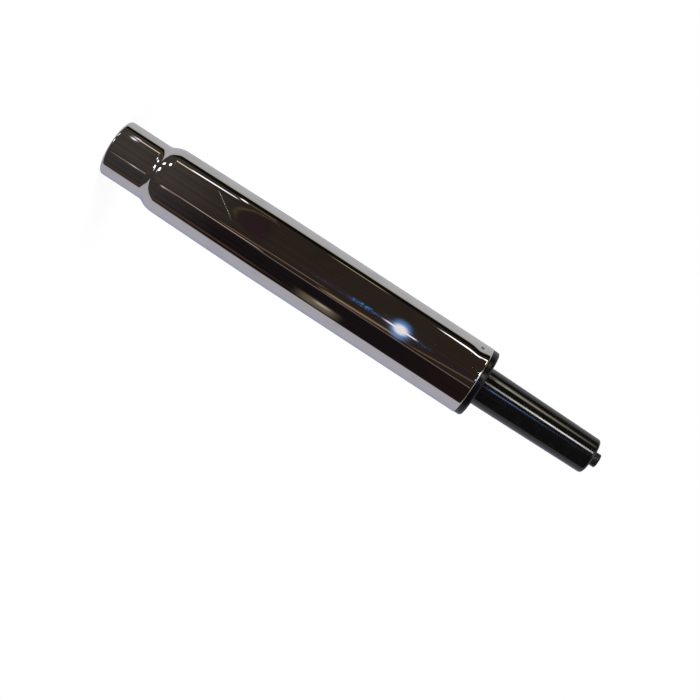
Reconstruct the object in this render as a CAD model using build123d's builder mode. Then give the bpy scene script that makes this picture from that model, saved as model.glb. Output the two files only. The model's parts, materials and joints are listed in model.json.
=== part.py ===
from build123d import *
import os
from math import radians, tan

# Chair gas lift cylinder at its lowest height, standing on the neck of its column.
# The axis is Z, the origin is the centre of the neck's lower rim, and lengths are in millimetres.

# Fits between pieces
running_clearance = 0.06  # radial, where one piece turns or slides in another
snug_clearance = 0.04  # radial, where a piece is seated for good
end_play = 0.2  # axial, between pieces that turn against each other
stop_gap = 0.3  # axial, where a moving piece comes to its stop
edge_break = 0.4  # chamfer that takes the sharpness off a turned edge

# Travel
stroke = 210.0
press_travel = 3.0

# Column: a steel tube with a swaged neck, a seat cone above it and two crimps near the top
column_wall = 2.0
column_height = 289.5
column_edge_r = 1.2
seat_half_angle = 0.719  # degrees, on the column's cone and on the pressure tube's
column_cone_length = 85.0
neck_wall = 3.0
neck_length = 32.4
neck_edge_r = 1.8
shoulder_length = 6.1
shoulder_foot_r = 3.0
shoulder_crown_r = 7.0
crimp_count = 2
crimp_turn = 30.0  # degrees from +X
crimp_drop = 8.0
crimp_r = 1.9
crimp_depth = 0.8
crimp_peg_r = 1.5

# Guide sleeve: a ribbed plastic bush with a flange that closes the column
sleeve_length = 95.0
sleeve_wall = 8.9
flange_thickness = 4.7
flange_inset = 0.3
flange_edge_r = 2.0
pocket_shares = (0.29, 0.8)  # inner and outer side, as shares of the sleeve's wall
pocket_floor = 1.5
sleeve_lead = 1.2
sleeve_land_length = 26.0
sleeve_relief = 0.5
crimp_groove_height = 6.0
crimp_groove_depth = 1.0
rib_count = 12
rib_thickness = 1.8
rib_root_r = 0.6

# Foot of the column: base disc, thrust bearing, cushion and the clip that holds the rod
tail_recess = 2.0
tail_r = 4.0
clip_lip = 1.6
clip_thickness = 1.0
clip_groove_depth = 0.8
clip_r = 8.0
clip_relief_r = 5.2
clip_tab_count = 3
clip_tab_width = 3.0
clip_tab_start = 100.0  # degrees from the middle of the mouth
clip_tab_spread = 240.0
clip_mouth = 6.6
clip_washer_r = 10.0
clip_washer_thickness = 1.5
disc_thickness = 3.0
disc_rim = 2.06
race_r = 15.0
race_bore_r = 6.4
race_thickness = 2.4
race_rim_gap = 0.4
ball_r = 2.0
ball_count = 12
ball_groove_depth = 0.8
cage_margin = 0.5
cage_play = 0.4
cushion_inset = 1.6
cushion_crown = 1.2
cushion_height = 6.0
support_washer_inset = 1.2
support_washer_thickness = 1.8

# Rod and piston
rod_r = 5.0
rod_spigot_r = 4.0
rod_tip = 1.2
rod_head_room = 3.0
piston_gap = 0.4
piston_height = 13.0
piston_edge = 1.0
piston_seal_height = 3.2
piston_seal_depth = 2.0
piston_band_height = 3.6
piston_band_depth = 1.2
piston_land = 2.0
piston_band_split = 1.4
nut_flats = 12.0
nut_height = 4.5
stroke_sleeve_length = 32.4
stroke_sleeve_share = 0.52  # of the room between rod and inner cylinder

# Pressure tube and what it holds
tube_r = 14.0
tube_wall = 1.5
tube_roof = 1.6
tube_cone_length = 82.0
tube_crown_r = 2.4
tube_lip = 1.5
tube_lip_bore_r = 9.0
tube_foot_r = 1.4
guide_height = 18.0
guide_groove_height = 2.4
guide_groove_depth = 0.6
guide_collar = 3.0
guide_waist = 0.8
seal_height = 7.0
seal_notch_depth = 3.0
seal_lip = 1.4
seal_washer_thickness = 1.5
seat_flange_height = 5.0
seat_spigot_height = 8.0
seat_bore_gap = 1.2
seat_channel_count = 6
seat_channel_width = 2.2
seat_channel_depth = 2.0
inner_gap = 1.5
inner_wall = 1.0

# Valve and release button
plug_height = 11.2
valve_length = 40.0
valve_spigot = 8.0
valve_gap = 0.43
valve_cup_r = 4.6
valve_cup_depth = 6.0
valve_flow_r = 2.4
valve_flow_length = 12.0
valve_port_count = 4
valve_port_r = 1.1
valve_port_rise = 3.4
ring_section_r = 1.0
ring_groove_play = 0.6
ring_rise_shares = (0.33, 0.7)  # of the two grooves, as shares of the body above its spigot
pin_r = 1.5
pin_head_r = 3.4
pin_head_height = 2.4
pin_head_cone = 1.6
pin_ring_pocket = 2.4
button_r = 5.0
button_rise = 5.4
button_edge = 0.7
button_flange_r = 6.8
button_flange_height = 2.0
button_hole_gap = 0.2
button_end_play = 0.2

os.makedirs("parts", exist_ok=True)

# Radii that follow from the pieces around them
seat_slope = tan(radians(seat_half_angle))
sleeve_bore_r = tube_r + running_clearance
sleeve_r = sleeve_bore_r + sleeve_wall
column_bore_r = sleeve_r + snug_clearance
column_r = column_bore_r + column_wall
cone_low_r = column_r - column_cone_length * seat_slope
disc_r = race_r + race_rim_gap + disc_rim
neck_bore_r = disc_r + snug_clearance
neck_r = neck_bore_r + neck_wall
ball_circle_r = (race_r + race_bore_r) / 2
support_washer_r = race_r - support_washer_inset
cushion_r = support_washer_r - cushion_inset
tail_fit_r = tail_r + snug_clearance
rod_fit_r = rod_r + snug_clearance
rod_run_r = rod_r + running_clearance
tube_bore_r = tube_r - tube_wall
tube_fit_r = tube_bore_r - snug_clearance
inner_r = tube_bore_r - inner_gap
inner_bore_r = inner_r - inner_wall
piston_r = inner_bore_r - piston_gap
stroke_sleeve_r = rod_r + (inner_bore_r - rod_r) * stroke_sleeve_share
pin_run_r = pin_r + running_clearance

# Heights of the foot and the bearing, from the foot upwards
cage_thickness = (ball_r - ball_groove_depth - cage_play) * 2
tail_low = tail_recess
clip_low = tail_low + clip_lip
clip_high = clip_low + clip_thickness
clip_washer_high = clip_high + clip_washer_thickness
disc_low = clip_washer_high + end_play
disc_high = disc_low + disc_thickness
lower_race_high = disc_high + race_thickness
ball_plane = lower_race_high + ball_r - ball_groove_depth
upper_race_low = ball_plane + ball_r - ball_groove_depth
upper_race_high = upper_race_low + race_thickness
cushion_high = upper_race_high + cushion_height
rod_shoulder = cushion_high + support_washer_thickness

# Heights of what the pressure tube holds, from its foot upwards
tube_low = rod_shoulder + stop_gap
guide_low = tube_low + tube_lip
guide_high = guide_low + guide_height
seal_high = guide_high + seal_height
seat_low = seal_high + seal_washer_thickness
inner_low = seat_low + seat_flange_height
seat_top = inner_low + seat_spigot_height
stroke_sleeve_low = seat_top + stroke + stop_gap
piston_low = stroke_sleeve_low + stroke_sleeve_length
nut_low = piston_low + piston_height
rod_top = nut_low + nut_height + rod_tip
valve_low = rod_top + rod_head_room
inner_high = valve_low + valve_spigot
plug_low = valve_low + valve_length
roof_low = plug_low + plug_height
tube_top = roof_low + tube_roof
tube_cone_low = tube_top - tube_cone_length
button_flange_low = roof_low - button_end_play - button_flange_height
button_top = tube_top + button_rise

# Heights of the column and its guide sleeve
shoulder_top = neck_length + shoulder_length
column_cone_high = shoulder_top + column_cone_length
sleeve_low = column_height - sleeve_length
crimp_height = column_height - crimp_drop
crimp_groove_low = crimp_height - crimp_groove_height / 2
crimp_groove_high = crimp_height + crimp_groove_height / 2


def cone_bore_r(height):
    """Bore radius of the pressure tube at a height in its seat cone."""
    return tube_bore_r - (height - tube_cone_low) * seat_slope


def corner(section, radius, height):
    """The corner of a turned section that lies nearest to a radius and a height."""
    return section.vertices().sort_by_distance((radius, height))[0]


# Column tube, turned as one wall and then crimped onto the guide sleeve
with BuildPart() as column_tube:
    with BuildSketch(Plane.XZ) as column_section:
        with BuildLine():
            Polyline(
                (neck_bore_r, 0),
                (neck_r, 0),
                (neck_r, neck_length),
                (cone_low_r, shoulder_top),
                (column_r, column_cone_high),
                (column_r, column_height),
                (column_bore_r, column_height),
                (column_bore_r, column_cone_high),
                (cone_low_r - column_wall, shoulder_top),
                (neck_bore_r, neck_length),
                close=True,
            )
        make_face()
        chamfer(corner(column_section, neck_bore_r, 0), edge_break)
        fillet(corner(column_section, neck_r, 0), neck_edge_r)
        fillet(corner(column_section, neck_r, neck_length), shoulder_foot_r)
        fillet(corner(column_section, cone_low_r, shoulder_top), shoulder_crown_r)
        fillet(corner(column_section, cone_low_r - column_wall, shoulder_top), shoulder_foot_r)
        fillet(corner(column_section, column_r, column_height), column_edge_r)
    revolve(axis=Axis.Z)
    with PolarLocations(0, crimp_count, start_angle=crimp_turn):
        with Locations((column_bore_r - crimp_depth, 0, crimp_height)):
            Cylinder(
                crimp_peg_r,
                crimp_depth + column_wall / 2,
                rotation=(0, 90, 0),
                align=(Align.CENTER, Align.CENTER, Align.MIN),
            )
        with Locations((column_r + crimp_r - crimp_depth, 0, crimp_height)):
            Sphere(crimp_r, mode=Mode.SUBTRACT)
column_tube.part.label = "column_tube"
export_step(column_tube.part, "parts/column_tube.step")

# Guide sleeve: an inner bush and an outer skin joined by ribs, open at the bottom and closed
# above by the flange, with a groove that the column's crimps press into
with BuildPart() as guide_sleeve:
    flange_r = column_r - flange_inset
    with BuildSketch(Plane.XZ) as sleeve_section:
        with BuildLine():
            Polyline(
                (sleeve_bore_r, sleeve_low),
                (sleeve_r, sleeve_low),
                (sleeve_r, crimp_groove_low),
                (sleeve_r - crimp_groove_depth, crimp_groove_low),
                (sleeve_r - crimp_groove_depth, crimp_groove_high),
                (sleeve_r, crimp_groove_high),
                (sleeve_r, column_height),
                (flange_r, column_height),
                (flange_r, column_height + flange_thickness),
                (sleeve_bore_r, column_height + flange_thickness),
                close=True,
            )
        make_face()
        fillet(corner(sleeve_section, flange_r, column_height + flange_thickness), flange_edge_r)
        chamfer(corner(sleeve_section, sleeve_r, sleeve_low), edge_break)
    revolve(axis=Axis.Z)
    with BuildSketch(Plane.XZ) as bore_section:
        with BuildLine():
            Polyline(
                (0, sleeve_low),
                (sleeve_bore_r + sleeve_lead, sleeve_low),
                (sleeve_bore_r, sleeve_low + sleeve_lead),
                (sleeve_bore_r, sleeve_low + sleeve_land_length),
                (sleeve_bore_r + sleeve_relief, sleeve_low + sleeve_land_length + sleeve_relief),
                (sleeve_bore_r + sleeve_relief, column_height - sleeve_land_length - sleeve_relief),
                (sleeve_bore_r, column_height - sleeve_land_length),
                (sleeve_bore_r, column_height + flange_thickness - sleeve_lead),
                (sleeve_bore_r + sleeve_lead, column_height + flange_thickness),
                (0, column_height + flange_thickness),
                close=True,
            )
        make_face()
    revolve(axis=Axis.Z, mode=Mode.SUBTRACT)
    pocket_inner_r, pocket_outer_r = [sleeve_bore_r + share * sleeve_wall for share in pocket_shares]
    with BuildSketch(Plane.XY.offset(sleeve_low)) as pockets:
        Circle(pocket_outer_r)
        Circle(pocket_inner_r, mode=Mode.SUBTRACT)
        with PolarLocations(sleeve_r / 2, rib_count):
            Rectangle(sleeve_r, rib_thickness, mode=Mode.SUBTRACT)
        fillet(pockets.vertices(), rib_root_r)
    extrude(amount=crimp_groove_low - pocket_floor - sleeve_low, mode=Mode.SUBTRACT)
guide_sleeve.part.label = "guide_sleeve"
export_step(guide_sleeve.part, "parts/guide_sleeve.step")

# Base disc, a shallow cup welded into the neck, which carries the bearing
with BuildPart() as base_disc:
    with BuildSketch(Plane.XY.offset(disc_low)):
        Circle(disc_r)
        Circle(tail_r + running_clearance, mode=Mode.SUBTRACT)
    extrude(amount=disc_thickness + race_thickness)
    with BuildSketch(Plane.XY.offset(disc_high)):
        Circle(race_r + race_rim_gap)
    extrude(amount=race_thickness, mode=Mode.SUBTRACT)
    chamfer(base_disc.edges().group_by(Axis.Z)[0], edge_break)
base_disc.part.label = "base_disc"
export_step(base_disc.part, "parts/base_disc.step")

# The two races of the thrust bearing, mirror images about the plane of the balls
races = {"lower_race": (disc_high, race_bore_r), "upper_race": (upper_race_low, tail_fit_r)}
for race_name, (race_low, bore_r) in races.items():
    with BuildPart() as race:
        with BuildSketch(Plane.XY.offset(race_low)):
            Circle(race_r)
            Circle(bore_r, mode=Mode.SUBTRACT)
        extrude(amount=race_thickness)
        chamfer(race.edges().group_by(Axis.Z)[0], edge_break)
        chamfer(race.edges().group_by(Axis.Z)[-1], edge_break)
        with Locations((0, 0, ball_plane)):
            Torus(ball_circle_r, ball_r + running_clearance, mode=Mode.SUBTRACT)
    race.part.label = race_name
    export_step(race.part, f"parts/{race_name}.step")

# Cage that spaces the balls, a flat ring with a round pocket for each of them
with BuildPart() as ball_cage:
    with BuildSketch(Plane.XY.offset(ball_plane - cage_thickness / 2)):
        Circle(race_r - cage_margin)
        Circle(race_bore_r + cage_margin, mode=Mode.SUBTRACT)
        with PolarLocations(ball_circle_r, ball_count):
            Circle(ball_r + running_clearance, mode=Mode.SUBTRACT)
    extrude(amount=cage_thickness)
ball_cage.part.label = "ball_cage"
export_step(ball_cage.part, "parts/ball_cage.step")

with BuildPart() as bearing_balls:
    with Locations((0, 0, ball_plane)):
        with PolarLocations(ball_circle_r, ball_count):
            Sphere(ball_r)
bearing_balls.part.label = "bearing_balls"
export_step(bearing_balls.part, "parts/bearing_balls.step")

# Rubber cushion ring, crowned on its outside
with BuildPart() as cushion_ring:
    with BuildSketch(Plane.XZ):
        with BuildLine():
            Line((cushion_r, upper_race_high), (tail_fit_r, upper_race_high))
            Line((tail_fit_r, upper_race_high), (tail_fit_r, cushion_high))
            Line((tail_fit_r, cushion_high), (cushion_r, cushion_high))
            ThreePointArc(
                (cushion_r, cushion_high),
                (cushion_r + cushion_crown, upper_race_high + cushion_height / 2),
                (cushion_r, upper_race_high),
            )
        make_face()
    revolve(axis=Axis.Z)
cushion_ring.part.label = "cushion_ring"
export_step(cushion_ring.part, "parts/cushion_ring.step")

# Plain washers on the rod and in the pressure tube
washers = {
    "support_washer": (cushion_high, support_washer_thickness, support_washer_r, tail_fit_r),
    "clip_washer": (clip_high, clip_washer_thickness, clip_washer_r, tail_fit_r),
    "seal_washer": (seal_high, seal_washer_thickness, tube_fit_r, rod_r + seat_bore_gap),
}
for washer_name, (washer_low, thickness, outer_r, bore_r) in washers.items():
    with BuildPart() as washer:
        with BuildSketch(Plane.XY.offset(washer_low)):
            Circle(outer_r)
            Circle(bore_r, mode=Mode.SUBTRACT)
        extrude(amount=thickness)
        outer_edges = washer.edges().sort_by(SortBy.LENGTH)[-2:]
        fillet(outer_edges, edge_break)
    washer.part.label = washer_name
    export_step(washer.part, f"parts/{washer_name}.step")

# Clip in the groove of the rod's tail, open on one side, with three tabs that grip
with BuildPart() as retaining_clip:
    tab_tip_r = tail_r - clip_groove_depth + snug_clearance
    with BuildSketch(Plane.XY.offset(clip_low)):
        Circle(clip_r)
        Circle(clip_relief_r, mode=Mode.SUBTRACT)
        tab_middle_r = (clip_relief_r + tail_r) / 2
        with PolarLocations(tab_middle_r, clip_tab_count, clip_tab_start, clip_tab_spread):
            Rectangle(clip_relief_r, clip_tab_width)
        Circle(tab_tip_r, mode=Mode.SUBTRACT)
        with Locations((clip_r, 0)):
            Rectangle(clip_r * 2, clip_mouth, mode=Mode.SUBTRACT)
    extrude(amount=clip_thickness)
retaining_clip.part.label = "retaining_clip"
export_step(retaining_clip.part, "parts/retaining_clip.step")

# Piston rod with its tail, the groove for the clip and the spigot for the piston
with BuildPart() as piston_rod:
    with BuildSketch(Plane.XZ):
        groove_r = tail_r - clip_groove_depth
        with BuildLine():
            Polyline(
                (0, tail_low),
                (tail_r - edge_break, tail_low),
                (tail_r, tail_low + edge_break),
                (tail_r, clip_low),
                (groove_r, clip_low),
                (groove_r, clip_high),
                (tail_r, clip_high),
                (tail_r, rod_shoulder),
                (rod_r, rod_shoulder),
                (rod_r, piston_low),
                (rod_spigot_r, piston_low),
                (rod_spigot_r, rod_top - edge_break),
                (rod_spigot_r - edge_break, rod_top),
                (0, rod_top),
                close=True,
            )
        make_face()
    revolve(axis=Axis.Z)
piston_rod.part.label = "piston_rod"
export_step(piston_rod.part, "parts/piston_rod.step")

# Sleeve on the rod below the piston, which sets how far the cylinder extends
with BuildPart() as stroke_sleeve:
    with BuildSketch(Plane.XY.offset(stroke_sleeve_low)):
        Circle(stroke_sleeve_r)
        Circle(rod_fit_r, mode=Mode.SUBTRACT)
    extrude(amount=stroke_sleeve_length)
    chamfer(stroke_sleeve.edges().filter_by(GeomType.CIRCLE), edge_break)
stroke_sleeve.part.label = "stroke_sleeve"
export_step(stroke_sleeve.part, "parts/stroke_sleeve.step")

# Piston with a groove for its seal and one for its guide band
with BuildPart() as piston:
    seal_groove_low = piston_low + piston_land
    band_groove_low = seal_groove_low + piston_seal_height + piston_land
    with BuildSketch(Plane.XY.offset(piston_low)):
        Circle(piston_r)
        Circle(rod_spigot_r + snug_clearance, mode=Mode.SUBTRACT)
    extrude(amount=piston_height)
    chamfer(piston.edges().sort_by(SortBy.LENGTH)[-2:], piston_edge)
    with BuildSketch(Plane.XY.offset(seal_groove_low)):
        Circle(piston_r)
        Circle(piston_r - piston_seal_depth, mode=Mode.SUBTRACT)
    extrude(amount=piston_seal_height, mode=Mode.SUBTRACT)
    with BuildSketch(Plane.XY.offset(band_groove_low)):
        Circle(piston_r)
        Circle(piston_r - piston_band_depth, mode=Mode.SUBTRACT)
    extrude(amount=piston_band_height, mode=Mode.SUBTRACT)
piston.part.label = "piston"
export_step(piston.part, "parts/piston.step")

with BuildPart() as piston_seal:
    with BuildSketch(Plane.XY.offset(seal_groove_low + snug_clearance)):
        Circle(inner_bore_r - running_clearance)
        Circle(piston_r - piston_seal_depth + snug_clearance, mode=Mode.SUBTRACT)
    extrude(amount=piston_seal_height - snug_clearance * 2)
    fillet(piston_seal.edges().sort_by(SortBy.LENGTH)[-2:], edge_break)
piston_seal.part.label = "piston_seal"
export_step(piston_seal.part, "parts/piston_seal.step")

with BuildPart() as piston_band:
    with BuildSketch(Plane.XY.offset(band_groove_low + snug_clearance)):
        Circle(inner_bore_r - running_clearance)
        Circle(piston_r - piston_band_depth + snug_clearance, mode=Mode.SUBTRACT)
        with Locations((piston_r, 0)):
            Rectangle(piston_r, piston_band_split, mode=Mode.SUBTRACT)
    extrude(amount=piston_band_height - snug_clearance * 2)
piston_band.part.label = "piston_band"
export_step(piston_band.part, "parts/piston_band.step")

with BuildPart() as piston_nut:
    with BuildSketch(Plane.XY.offset(nut_low)):
        RegularPolygon(nut_flats / 2, 6, major_radius=False)
        Circle(rod_spigot_r + snug_clearance, mode=Mode.SUBTRACT)
    extrude(amount=nut_height)
    chamfer(piston_nut.edges().filter_by(GeomType.LINE).group_by(Axis.Z)[-1], edge_break)
piston_nut.part.label = "piston_nut"
export_step(piston_nut.part, "parts/piston_nut.step")

# Pressure tube: rolled in at the foot, swaged to the seat cone above, roofed round the button
with BuildPart() as pressure_tube:
    cone_top_r = tube_r - tube_cone_length * seat_slope
    with BuildSketch(Plane.XZ) as tube_section:
        with BuildLine():
            Polyline(
                (tube_lip_bore_r, tube_low),
                (tube_r, tube_low),
                (tube_r, tube_cone_low),
                (cone_top_r, tube_top),
                (button_r + button_hole_gap, tube_top),
                (button_r + button_hole_gap, roof_low),
                (cone_bore_r(roof_low), roof_low),
                (tube_bore_r, tube_cone_low),
                (tube_bore_r, guide_low),
                (tube_lip_bore_r, guide_low),
                close=True,
            )
        make_face()
        fillet(corner(tube_section, tube_r, tube_low), tube_foot_r)
        fillet(corner(tube_section, cone_top_r, tube_top), tube_crown_r)
    revolve(axis=Axis.Z)
pressure_tube.part.label = "pressure_tube"
export_step(pressure_tube.part, "parts/pressure_tube.step")

# Rod guide, waisted between two collars, with a grease groove round its bore
with BuildPart() as rod_guide:
    with BuildSketch(Plane.XZ):
        waist_r = tube_fit_r - guide_waist
        groove_low = (guide_low + guide_high - guide_groove_height) / 2
        groove_high = groove_low + guide_groove_height
        with BuildLine():
            Polyline(
                (rod_run_r, guide_low),
                (tube_fit_r, guide_low),
                (tube_fit_r, guide_low + guide_collar),
                (waist_r, guide_low + guide_collar + guide_waist),
                (waist_r, guide_high - guide_collar - guide_waist),
                (tube_fit_r, guide_high - guide_collar),
                (tube_fit_r, guide_high),
                (rod_run_r, guide_high),
                (rod_run_r, groove_high),
                (rod_run_r + guide_groove_depth, groove_high),
                (rod_run_r + guide_groove_depth, groove_low),
                (rod_run_r, groove_low),
                close=True,
            )
        make_face()
    revolve(axis=Axis.Z)
rod_guide.part.label = "rod_guide"
export_step(rod_guide.part, "parts/rod_guide.step")

# Rod seal, a rubber ring whose two lips are spread by the gas above it
with BuildPart() as rod_seal:
    with BuildSketch(Plane.XZ):
        with BuildLine():
            Polyline(
                (rod_run_r, guide_high),
                (tube_fit_r, guide_high),
                (tube_fit_r, seal_high),
                (tube_fit_r - seal_lip, seal_high),
                ((tube_fit_r + rod_run_r) / 2, seal_high - seal_notch_depth),
                (rod_run_r + seal_lip, seal_high),
                (rod_run_r, seal_high),
                close=True,
            )
        make_face()
    revolve(axis=Axis.Z)
rod_seal.part.label = "rod_seal"
export_step(rod_seal.part, "parts/rod_seal.step")

# Seat that centres the inner cylinder, with channels between the ring gap and the lower chamber
with BuildPart() as cylinder_seat:
    with BuildSketch(Plane.XY.offset(seat_low)):
        Circle(tube_fit_r)
    extrude(amount=seat_flange_height)
    with BuildSketch(Plane.XY.offset(inner_low)):
        Circle(inner_bore_r - snug_clearance)
    extrude(amount=seat_spigot_height)
    chamfer(cylinder_seat.edges().group_by(Axis.Z)[-1], edge_break)
    with BuildSketch(Plane.XY.offset(seat_low)):
        Circle(rod_r + seat_bore_gap)
    extrude(amount=seat_flange_height + seat_spigot_height, mode=Mode.SUBTRACT)
    with BuildSketch(Plane.XY.offset(inner_low - seat_channel_depth)):
        with PolarLocations(tube_r / 2, seat_channel_count):
            Rectangle(tube_r, seat_channel_width)
    extrude(amount=seat_channel_depth, mode=Mode.SUBTRACT)
cylinder_seat.part.label = "cylinder_seat"
export_step(cylinder_seat.part, "parts/cylinder_seat.step")

with BuildPart() as inner_cylinder:
    with BuildSketch(Plane.XY.offset(inner_low)):
        Circle(inner_r)
        Circle(inner_bore_r, mode=Mode.SUBTRACT)
    extrude(amount=inner_high - inner_low)
inner_cylinder.part.label = "inner_cylinder"
export_step(inner_cylinder.part, "parts/inner_cylinder.step")

# Valve body: a spigot in the inner cylinder, ports to the ring gap, two ring grooves and the
# stepped bore of the valve pin
pin_ring_pocket_r = pin_r + pin_ring_pocket
flow_low = valve_low + valve_cup_depth
valve_r = cone_bore_r(plug_low) - valve_gap
ring_groove_r = cone_bore_r(plug_low) - (ring_section_r + snug_clearance) * 2
ring_groove_height = ring_section_r * 2 + ring_groove_play
ring_heights = [inner_high + share * (plug_low - inner_high) for share in ring_rise_shares]
with BuildPart() as valve_body:
    with BuildSketch(Plane.XY.offset(valve_low)):
        Circle(inner_bore_r - snug_clearance)
    extrude(amount=valve_spigot)
    chamfer(valve_body.edges().group_by(Axis.Z)[0], edge_break)
    with BuildSketch(Plane.XY.offset(inner_high)):
        Circle(valve_r)
    extrude(amount=plug_low - inner_high)
    for ring_height in ring_heights:
        with BuildSketch(Plane.XY.offset(ring_height - ring_groove_height / 2)):
            Circle(valve_r)
            Circle(ring_groove_r, mode=Mode.SUBTRACT)
        extrude(amount=ring_groove_height, mode=Mode.SUBTRACT)
    with BuildSketch(Plane.XZ):
        with BuildLine():
            Polyline(
                (0, valve_low),
                (valve_cup_r, valve_low),
                (valve_cup_r, flow_low),
                (valve_flow_r, flow_low),
                (valve_flow_r, flow_low + valve_flow_length),
                (pin_run_r, flow_low + valve_flow_length),
                (pin_run_r, plug_low - pin_ring_pocket),
                (pin_ring_pocket_r, plug_low - pin_ring_pocket),
                (pin_ring_pocket_r, plug_low),
                (0, plug_low),
                close=True,
            )
        make_face()
    revolve(axis=Axis.Z, mode=Mode.SUBTRACT)
    with Locations((0, 0, inner_high + valve_port_rise)):
        with PolarLocations(valve_r / 2, valve_port_count):
            Cylinder(valve_port_r, valve_r, rotation=(0, 90, 0), mode=Mode.SUBTRACT)
valve_body.part.label = "valve_body"
export_step(valve_body.part, "parts/valve_body.step")

# Rubber rings: two round the valve body, one round the valve pin
with BuildPart() as valve_rings:
    for ring_height in ring_heights:
        ring_circle_r = cone_bore_r(ring_height) - ring_section_r - snug_clearance
        with Locations((0, 0, ring_height)):
            Torus(ring_circle_r, ring_section_r)
valve_rings.part.label = "valve_rings"
export_step(valve_rings.part, "parts/valve_rings.step")

with BuildPart() as pin_ring:
    pin_ring_section_r = (pin_ring_pocket_r - pin_run_r - snug_clearance) / 2
    with Locations((0, 0, plug_low - pin_ring_pocket / 2)):
        Torus(pin_run_r + pin_ring_section_r, pin_ring_section_r)
pin_ring.part.label = "pin_ring"
export_step(pin_ring.part, "parts/pin_ring.step")

# End plug under the tube's roof, a cup in which the button's flange travels
with BuildPart() as end_plug:
    pocket_r = button_flange_r + button_hole_gap
    pocket_low = button_flange_low - press_travel - stop_gap
    with BuildSketch(Plane.XZ):
        with BuildLine():
            Polyline(
                (pin_run_r, plug_low),
                (cone_bore_r(plug_low) - snug_clearance, plug_low),
                (cone_bore_r(roof_low) - snug_clearance, roof_low),
                (pocket_r, roof_low),
                (pocket_r, pocket_low),
                (pin_run_r, pocket_low),
                close=True,
            )
        make_face()
    revolve(axis=Axis.Z)
end_plug.part.label = "end_plug"
export_step(end_plug.part, "parts/end_plug.step")

# Valve pin, whose coned head closes the flow bore from below until the button is pressed
with BuildPart() as valve_pin:
    head_slope = pin_head_cone / (pin_head_r - pin_r)
    head_rim = flow_low - (pin_head_r - valve_flow_r) * head_slope - running_clearance
    with BuildSketch(Plane.XZ):
        with BuildLine():
            Polyline(
                (0, head_rim - pin_head_height),
                (pin_head_r - edge_break, head_rim - pin_head_height),
                (pin_head_r, head_rim - pin_head_height + edge_break),
                (pin_head_r, head_rim),
                (pin_r, head_rim + pin_head_cone),
                (pin_r, button_flange_low),
                (0, button_flange_low),
                close=True,
            )
        make_face()
    revolve(axis=Axis.Z)
valve_pin.part.label = "valve_pin"
export_step(valve_pin.part, "parts/valve_pin.step")

# Release button, held under the roof by its flange
with BuildPart() as release_button:
    with BuildSketch(Plane.XY.offset(button_flange_low)):
        Circle(button_flange_r)
    extrude(amount=button_flange_height)
    with BuildSketch(Plane.XY.offset(button_flange_low)):
        Circle(button_r)
    extrude(amount=button_top - button_flange_low)
    chamfer(release_button.edges().group_by(Axis.Z)[-1], button_edge)
release_button.part.label = "release_button"
export_step(release_button.part, "parts/release_button.step")
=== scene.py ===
import json
from math import atan2, cos, degrees, exp, hypot, pi, radians, sin, sqrt, tan

import bmesh
import bpy
from mathutils import Matrix, Vector


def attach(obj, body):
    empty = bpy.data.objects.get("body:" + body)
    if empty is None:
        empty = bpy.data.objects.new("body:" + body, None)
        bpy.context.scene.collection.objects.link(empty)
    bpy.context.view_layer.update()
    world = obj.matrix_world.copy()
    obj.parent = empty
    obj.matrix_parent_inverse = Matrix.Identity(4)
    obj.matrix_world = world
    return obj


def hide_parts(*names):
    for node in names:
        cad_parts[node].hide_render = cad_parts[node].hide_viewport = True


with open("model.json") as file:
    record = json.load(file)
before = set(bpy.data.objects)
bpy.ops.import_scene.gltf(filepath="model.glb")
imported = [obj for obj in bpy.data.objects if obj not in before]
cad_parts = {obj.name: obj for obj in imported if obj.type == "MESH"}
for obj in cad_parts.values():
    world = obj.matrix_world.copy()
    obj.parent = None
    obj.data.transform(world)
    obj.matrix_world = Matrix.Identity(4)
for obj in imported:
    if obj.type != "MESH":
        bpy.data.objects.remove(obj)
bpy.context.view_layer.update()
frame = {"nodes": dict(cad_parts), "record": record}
scene = bpy.context.scene
scene.view_settings.view_transform = "Standard"
mm = 0.001
toDegrees = 180 / pi
white = (1.0, 1.0, 1.0)


class Wire:  # a shader socket that can stand in a sum
    def __init__(self, tree, socket=None):
        self.tree = tree
        self.socket = socket

    def node(self, kind, settings=None, inputs=None, output=0):
        made = self.tree.nodes.new(kind)
        for name, value in (settings or {}).items():
            setattr(made, name, value)
        for name, value in (inputs or {}).items():
            socket = made.inputs[name]
            if isinstance(value, Wire):
                self.tree.links.new(value.socket, socket)
            elif socket.type == "RGBA" and len(value) == 3:
                socket.default_value = (*value, 1)
            else:
                socket.default_value = value
        return Wire(self.tree, made.outputs[output] if len(made.outputs) else None)

    def maths(self, operation, *values):
        return self.node("ShaderNodeMath", {"operation": operation}, dict(enumerate(values)))

    def __add__(self, other):
        return self.maths("ADD", self, other)

    def __sub__(self, other):
        return self.maths("SUBTRACT", self, other)

    def __mul__(self, other):
        return self.maths("MULTIPLY", self, other)

    def __radd__(self, other):
        return self.maths("ADD", other, self)

    def __rsub__(self, other):
        return self.maths("SUBTRACT", other, self)

    def __rmul__(self, other):
        return self.maths("MULTIPLY", other, self)

    def __abs__(self):
        return self.maths("ABSOLUTE", self)

    def step(self, low, high):  # 0 below low, 1 above high, smooth between
        inputs = {"Value": self, "From Min": low, "From Max": high, "To Min": 0.0, "To Max": 1.0}
        return self.node("ShaderNodeMapRange", {"interpolation_type": "SMOOTHSTEP"}, inputs)

    def within(self, centre, half, soft):  # 1 near a centre, 0 beyond half plus soft
        return 1 - abs(self - centre).step(half - soft, half + soft)

    def mix(self, low, high):  # this wire as the factor between two colours
        settings = {"data_type": "RGBA", "clamp_factor": True}  # its colours go in at 6 and 7
        return self.node("ShaderNodeMix", settings, {0: self, 6: low, 7: high}, 2)

    def blend(self, low, high):  # this wire as the factor between two shaders
        return self.node("ShaderNodeMixShader", {}, {0: self, 1: low, 2: high})


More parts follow.
